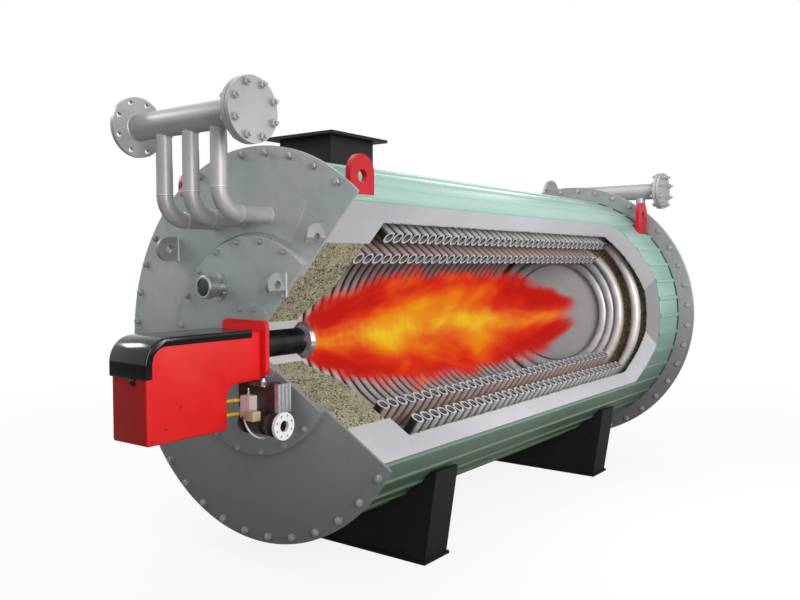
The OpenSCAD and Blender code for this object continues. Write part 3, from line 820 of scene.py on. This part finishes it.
def saw_end(drawing, verts, inward):
    """The sawn end of a tube: a bright ring, and a bore that runs back a little way, painted dark as
    shade.
    """
    centre = sum((v.co for v in verts), Vector()) / len(verts)
    grown = bmesh.ops.extrude_edge_only(drawing, edges=edges_among(verts))["geom"]
    rim = [g for g in grown if isinstance(g, bmesh.types.BMVert)]
    for face in (g for g in grown if isinstance(g, bmesh.types.BMFace)):
        face.material_index = 1
    bmesh.ops.scale(drawing, vec=(TUBE_BORE / TUBE_R,) * 3, space=Matrix.Translation(-centre), verts=rim)
    before = set(drawing.faces)
    floor_loop = wind(drawing, edges_among(rim), inward, 0.0, 2)
    bmesh.ops.contextual_create(drawing, geom=edges_among(floor_loop))
    for face in set(drawing.faces) - before:
        face.material_index = 2


def winding(radius, span, rise, crowded):
    """A length of wound tube by itself, from the upper cut round, with both ends sawn."""
    drawing = bmesh.new()
    groove = drawing.verts.layers.float.new("groove")
    turn = math.radians(CUT_TOP)
    along = Vector((-math.sin(turn), 0, math.cos(turn)))
    place = facing(on_vessel(radius, CUT_TOP, 0.0), along)
    start = bmesh.ops.create_circle(drawing, segments=TUBE_SIDES, radius=TUBE_R, matrix=place)["verts"]
    # How far a vertex is toward the next turn, which sets the painted shade in the grooves.
    for vert in start:
        vert[groove] = crowded * abs(vert.co.y - FACE_Y) / TUBE_R
    end = wind(drawing, edges_among(start), span, rise, round(span / STEP_DEGREES))
    saw_end(drawing, start, BORE_DEGREES)
    saw_end(drawing, end, -BORE_DEGREES)
    return small_mesh(drawing)


def wound_coil(name, node, radius, first, turns):
    """A coil of sawn turns, with whole turns behind the window, whose painted groove shade is paler."""
    drawing = bmesh.new()
    sawn = math.ceil((WINDOW_END - first) / PITCH)
    span = 360 - CUT_TOP + CUT_LOW
    sawn_turn = winding(radius, span, PITCH * span / 360, crowded=1.0)
    for i in range(sawn):
        stamp(drawing, sawn_turn, Matrix.Translation((0, first + i * PITCH, 0)))
    whole = turns - 1 - sawn
    last_turns = winding(radius, 360 * whole, PITCH * whole, crowded=0.4)
    stamp(drawing, last_turns, Matrix.Translation((0, first + sawn * PITCH, 0)))
    return make_piece(name, drawing, [coil_steel, sawn_steel, bore_black], [node])


wound_coil("inner_coil_winding", "inner_coil", radius=0.590, first=0.342, turns=40)
wound_coil("outer_coil_winding", "outer_coil", radius=0.735, first=0.470, turns=38)

# %% [markdown]
# ## Burner housing and cover
# The burner is a folded and welded box with soft edges under a glossy moulded cover. The solids
# already have the outline, so the same outline is drawn again from the side, carried across the
# burner and bevelled. A modifier could bevel too, but here only the sharp edges are wanted and
# not those of the round corners, so the edges are picked by their angle. The rear panel gets a
# deeper red than the sides, a painted shade.

# %% Burner box and cover
housing_low, housing_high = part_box("burner_housing")
cover_low, cover_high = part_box("burner_cover")
CORNER_R = 0.105
NOTCH_Y, NOTCH_Z, NOTCH_R = -0.297, -0.157, 0.067
SKIRT_Z = cover_low.z - AXIS_Z
COVER_DEEP = 0.040
BOX_EDGE, COVER_EDGE = 0.012, 0.009
FOLD_ANGLE = math.radians(35)
REAR_FACING = -0.9


def arc(y, z, radius, start, end, steps=10):
    """Points of a round corner seen from the side, between two angles in degrees."""
    turns = [math.radians(start + (end - start) * i / steps) for i in range(steps + 1)]
    return [(y + radius * math.cos(turn), z + radius * math.sin(turn)) for turn in turns]


def soft_block(outline, low_x, high_x, soften):
    """A side outline carried across the vessel, with its sharp edges rounded."""
    drawing = bmesh.new()
    side = drawing.faces.new([drawing.verts.new((low_x, FACE_Y + y, AXIS_Z + z)) for y, z in outline])
    grown = bmesh.ops.extrude_face_region(drawing, geom=[side])["geom"]
    moved = [g for g in grown if isinstance(g, bmesh.types.BMVert)]
    bmesh.ops.translate(drawing, vec=(high_x - low_x, 0, 0), verts=moved)
    bmesh.ops.recalc_face_normals(drawing, faces=drawing.faces)
    sharp = [e for e in drawing.edges if e.is_manifold and e.calc_face_angle() > FOLD_ANGLE]
    bmesh.ops.bevel(drawing, geom=sharp, offset=soften, segments=4, profile=0.5, affect="EDGES",
                    material=-1, clamp_overlap=True)
    return drawing


back, front = housing_low.y - FACE_Y, housing_high.y - FACE_Y
low, top = housing_low.z - AXIS_Z, housing_high.z - AXIS_Z
hub = (back + CORNER_R, top - CORNER_R)
box_outline = [(back, low), *arc(*hub, CORNER_R, 180, 90), (front, top), (front, NOTCH_Z),
               *arc(NOTCH_Y + NOTCH_R, NOTCH_Z - NOTCH_R, NOTCH_R, 90, 180), (NOTCH_Y, low)]
box = soft_block(box_outline, housing_low.x, housing_high.x, BOX_EDGE)
box.normal_update()
# Faces that look back get the deeper red, a painted shade.
for face in box.faces:
    face.material_index = int(face.normal.y < REAR_FACING)
make_piece("burner_box", box, [burner_red, panel_red], ["burner_housing"])

grow = cover_high.z - housing_high.z
inner_r = CORNER_R + grow - COVER_DEEP
end = cover_high.y - FACE_Y
cover_outline = [(back - grow, SKIRT_Z), *arc(*hub, CORNER_R + grow, 180, 90), (end, top + grow),
                 (end, top + grow - COVER_DEEP), *arc(*hub, inner_r, 90, 180),
                 (back - grow + COVER_DEEP, SKIRT_Z)]
cover = soft_block(cover_outline, cover_low.x, cover_high.x, COVER_EDGE)
make_piece("burner_hood", cover, [cover_black], ["burner_cover"])

# %% [markdown]
# ## Burner screws and catch
# Three small screws hold the side panel of the burner, on both sides alike, and a catch under the
# rear of the hood keeps it shut. They are short rods and a bevelled block.

# %% Burner screws and catch
SCREWS = ((-0.569, -0.219), (-0.650, -0.307), (-0.722, -0.348))
SCREW_R, SCREW_SUNK, SCREW_OUT = 0.005, 0.001, 0.002
CATCH_X, CATCH_Z, CATCH_OUT = 0.031, -0.096, 0.004
CATCH_SIZE, CATCH_EDGE = (0.026, 0.012, 0.030), 0.003


def bevelled_block(place, size, edge):
    """A block by itself, centred on a place, with all its edges rounded."""
    drawing = bmesh.new()
    shape = Matrix.Translation(place) @ Matrix.Diagonal((*size, 1.0))
    bmesh.ops.create_cube(drawing, size=1.0, matrix=shape)
    bmesh.ops.bevel(drawing, geom=drawing.edges[:], offset=edge, segments=2, profile=0.5,
                    affect="EDGES", material=-1)
    return drawing


side_screws = bmesh.new()
for y, z in SCREWS:
    for x, out in ((housing_high.x, RIGHT), (housing_low.x, LEFT)):
        place = facing((x, FACE_Y + y, AXIS_Z + z), out)
        rod(side_screws, 12, SCREW_R, -SCREW_SUNK, SCREW_OUT, place)
make_piece("burner_side_screws", side_screws, [valve_black])

catch_at = (CATCH_X, housing_low.y - CATCH_OUT, AXIS_Z + CATCH_Z)
catch = bevelled_block(catch_at, CATCH_SIZE, CATCH_EDGE)
make_piece("hood_catch", catch, [cover_black])

# %% [markdown]
# ## Gas line fittings
# Between the valve and the burner sit small fittings: a tan pressure switch on the round body,
# bright nuts on top of the valve and the switch box, and a thin test line that loops from the box
# under the round body. The loop is a circle spun through part of a turn.

# %% Gas line fittings
SWITCH_X, SWITCH_Z, SWITCH_OUT = 0.234, -0.296, 0.012
SWITCH_SIZE, SWITCH_EDGE = (0.056, 0.050, 0.046), 0.004
VALVE_NUT_X, VALVE_NUT_IN, VALVE_TOP_Z = 0.222, 0.022, -0.168
BOX_NUT_X, BOX_NUT_IN = 0.162, 0.025
LOOP_X, LOOP_Z, LOOP_R = 0.270, -0.290, 0.105
LOOP_START, LOOP_END = 191, 288
LOOP_OUT, END_IN = 0.006, 0.034
LINE_R, END_R = 0.0045, 0.008

valve_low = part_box("gas_valve_body")[0]
switch_low, switch_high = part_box("gas_switch_box")
governor_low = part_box("gas_governor")[0]
loop_y = governor_low.y - LOOP_OUT

switch_at = (SWITCH_X, governor_low.y - SWITCH_OUT, AXIS_Z + SWITCH_Z)
make_piece("pressure_switch", bevelled_block(switch_at, SWITCH_SIZE, SWITCH_EDGE), [switch_tan])


def on_loop(degrees, y):
    """A point of the test line's loop at an angle, carried to a place along the vessel."""
    turn = math.radians(degrees)
    return Vector((LOOP_X + LOOP_R * math.cos(turn), y, AXIS_Z + LOOP_Z + LOOP_R * math.sin(turn)))


fittings = bmesh.new()
valve_nut_at = (VALVE_NUT_X, valve_low.y + VALVE_NUT_IN, AXIS_Z + VALVE_TOP_Z)
box_nut_at = (BOX_NUT_X, switch_low.y + BOX_NUT_IN, switch_high.z)
valve_nut = hex_head(across=0.026, height=0.022, stud=0.012)
box_nut = hex_head(across=0.014, height=0.012, stud=0.022)
stamp(fittings, valve_nut, Matrix.Translation(valve_nut_at))
stamp(fittings, box_nut, Matrix.Translation(box_nut_at))
for degrees, y in ((LOOP_START, switch_low.y), (LOOP_END, governor_low.y + END_IN)):
    rod(fittings, 10, END_R, 0.0, y - loop_y + END_R, facing(on_loop(degrees, y), FRONT))
make_piece("gas_fittings", fittings, [head_steel])

test_line = bmesh.new()
turn = math.radians(LOOP_START)
place = facing(on_loop(LOOP_START, loop_y), (-math.sin(turn), 0, math.cos(turn)))
ring = bmesh.ops.create_circle(test_line, segments=10, radius=LINE_R, matrix=place)["verts"]
hub = (LOOP_X, loop_y, AXIS_Z + LOOP_Z)
last = bmesh.ops.spin(test_line, geom=edges_among(ring), cent=hub, axis=FRONT,
                      angle=math.radians(LOOP_END - LOOP_START), steps=24, use_merge=False)["geom_last"]
for loop in (ring, [g for g in last if isinstance(g, bmesh.types.BMVert)]):
    bmesh.ops.contextual_create(test_line, geom=edges_among(loop))
make_piece("gas_test_line", test_line, [gas_white])

# %% [markdown]
# ## Flame
# The burner throws a long flame down the middle of the coils: a cone as it leaves the head, a
# broad belly and a ragged tip that lifts to one side. Fire is a glowing gas. A volume would be the
# true way, but a volume doesn't travel with the model, so thin sheets cross on the axis, each clear
# at its edges. A sheet is a grid bent to the flame's outline and given a thin closed body, and its
# own map (along, across) carries the colours: yellow inside, then orange and red. The two slanted
# sheets are clear near the axis too, so that no line shows where they cross the upright one.

# %% Flame
FLAME_START, FLAME_END = 0.338, 3.20
FLAME_NECK, FLAME_BELLY, FLAME_FLARE, FLAME_TAPER = 0.10, 0.36, 6.0, 0.38
TIP_SIDE, TIP_RISE = 0.30, 0.02
UPRIGHT = 90
SHEETS = (UPRIGHT, 58, 122)
SHEET_T = 0.003
SHEET_SHIFT = 0.37
HEAT = [(0.0, (0.50, 0.013, 0.008)), (0.22, (0.66, 0.024, 0.010)), (0.45, (0.77, 0.10, 0.009)),
        (0.70, (0.80, 0.27, 0.009)), (0.98, (0.88, 0.52, 0.014))]


def flame_width(t):
    """Half the flame's width along its length, from 0 at the head to 1 at the tip."""
    return FLAME_NECK + FLAME_BELLY * (1 - math.exp(-t * FLAME_FLARE)) - FLAME_TAPER * t ** 4


def fire(name, shift, hollow):
    """Glowing gas on a sheet, hotter toward its middle. A hollow one is clear near the axis."""
    finish = Finish(name, base_color=(0.0, 0.0, 0.0), roughness=1.0, emission_strength=1.0)
    finish.feed("Specular IOR Level", 0.0)
    sheet = finish.node("ShaderNodeUVMap", {"uv_map": "sheet"})
    parts = finish.node("ShaderNodeSeparateXYZ", {}, {0: sheet}).socket.node.outputs
    along, across = Wire(finish, parts[0]), Wire(finish, parts[1])

    def wisps(scale, stretch, detail):
        """Noise drawn out along the flame, different on each sheet."""
        mapping = {"Vector": sheet, "Scale": stretch, "Location": (shift, shift, 0)}
        mapped = finish.node("ShaderNodeMapping", {}, mapping)
        sockets = {"Vector": mapped, "Scale": scale, "Detail": detail, "Distortion": 0.4}
        return finish.node("ShaderNodeTexNoise", {}, sockets)

    ragged = wisps(3.0, (3.2, 1.3, 1.0), 4.0)
    tongues = wisps(2.0, (2.6, 1.2, 1.0), 3.5)
    off_middle = across * 2 - 1 + (ragged - 0.5) * 0.6
    inside = 1 - (off_middle * off_middle) ** 0.5
    ends = along.band(0.0, 0.05) * (1 - along.band(0.90, 1.0))
    mouth = 1 - along.band(0.0, 0.30)
    cooling = along.band(0.45, 0.95) * 0.50
    heat = inside * 0.80 + (tongues - 0.5) * 1.6 - cooling - mouth * 0.42 + 0.03
    finish.feed("Emission Color", finish.node("ShaderNodeValToRGB", {"stops": HEAT}, {0: heat}))
    body = inside.band(0.04, 0.34) * ends * 0.97
    if hollow:
        body = body * (1 - inside.band(0.40, 0.85)) * 0.8
    finish.feed("Alpha", body)
    return finish


def flame_sheet(degrees):
    """One sheet through the flame's own middle line, wide as the flame is."""
    drawing = bmesh.new()
    drawing.loops.layers.uv.new("sheet")
    bmesh.ops.create_grid(drawing, x_segments=48, y_segments=12, size=0.5, calc_uvs=True)
    turn = math.radians(degrees)
    outward = Vector((math.cos(turn), 0, math.sin(turn)))
    for vert in drawing.verts:
        t = vert.co.x + 0.5
        side = vert.co.y * 2 * flame_width(t)
        middle = on_vessel(0, 0, FLAME_START + (FLAME_END - FLAME_START) * t)
        drift = Vector((TIP_SIDE * t ** 2, 0, TIP_RISE * t))
        vert.co = middle + drift + outward * side
    bmesh.ops.solidify(drawing, geom=drawing.faces[:], thickness=SHEET_T)
    name = f"flame_{degrees}"
    made = make_piece(name, drawing, [fire(name, degrees * SHEET_SHIFT, degrees != UPRIGHT)])
    made.visible_diffuse = False
    made.visible_shadow = False


for degrees in SHEETS:
    flame_sheet(degrees)
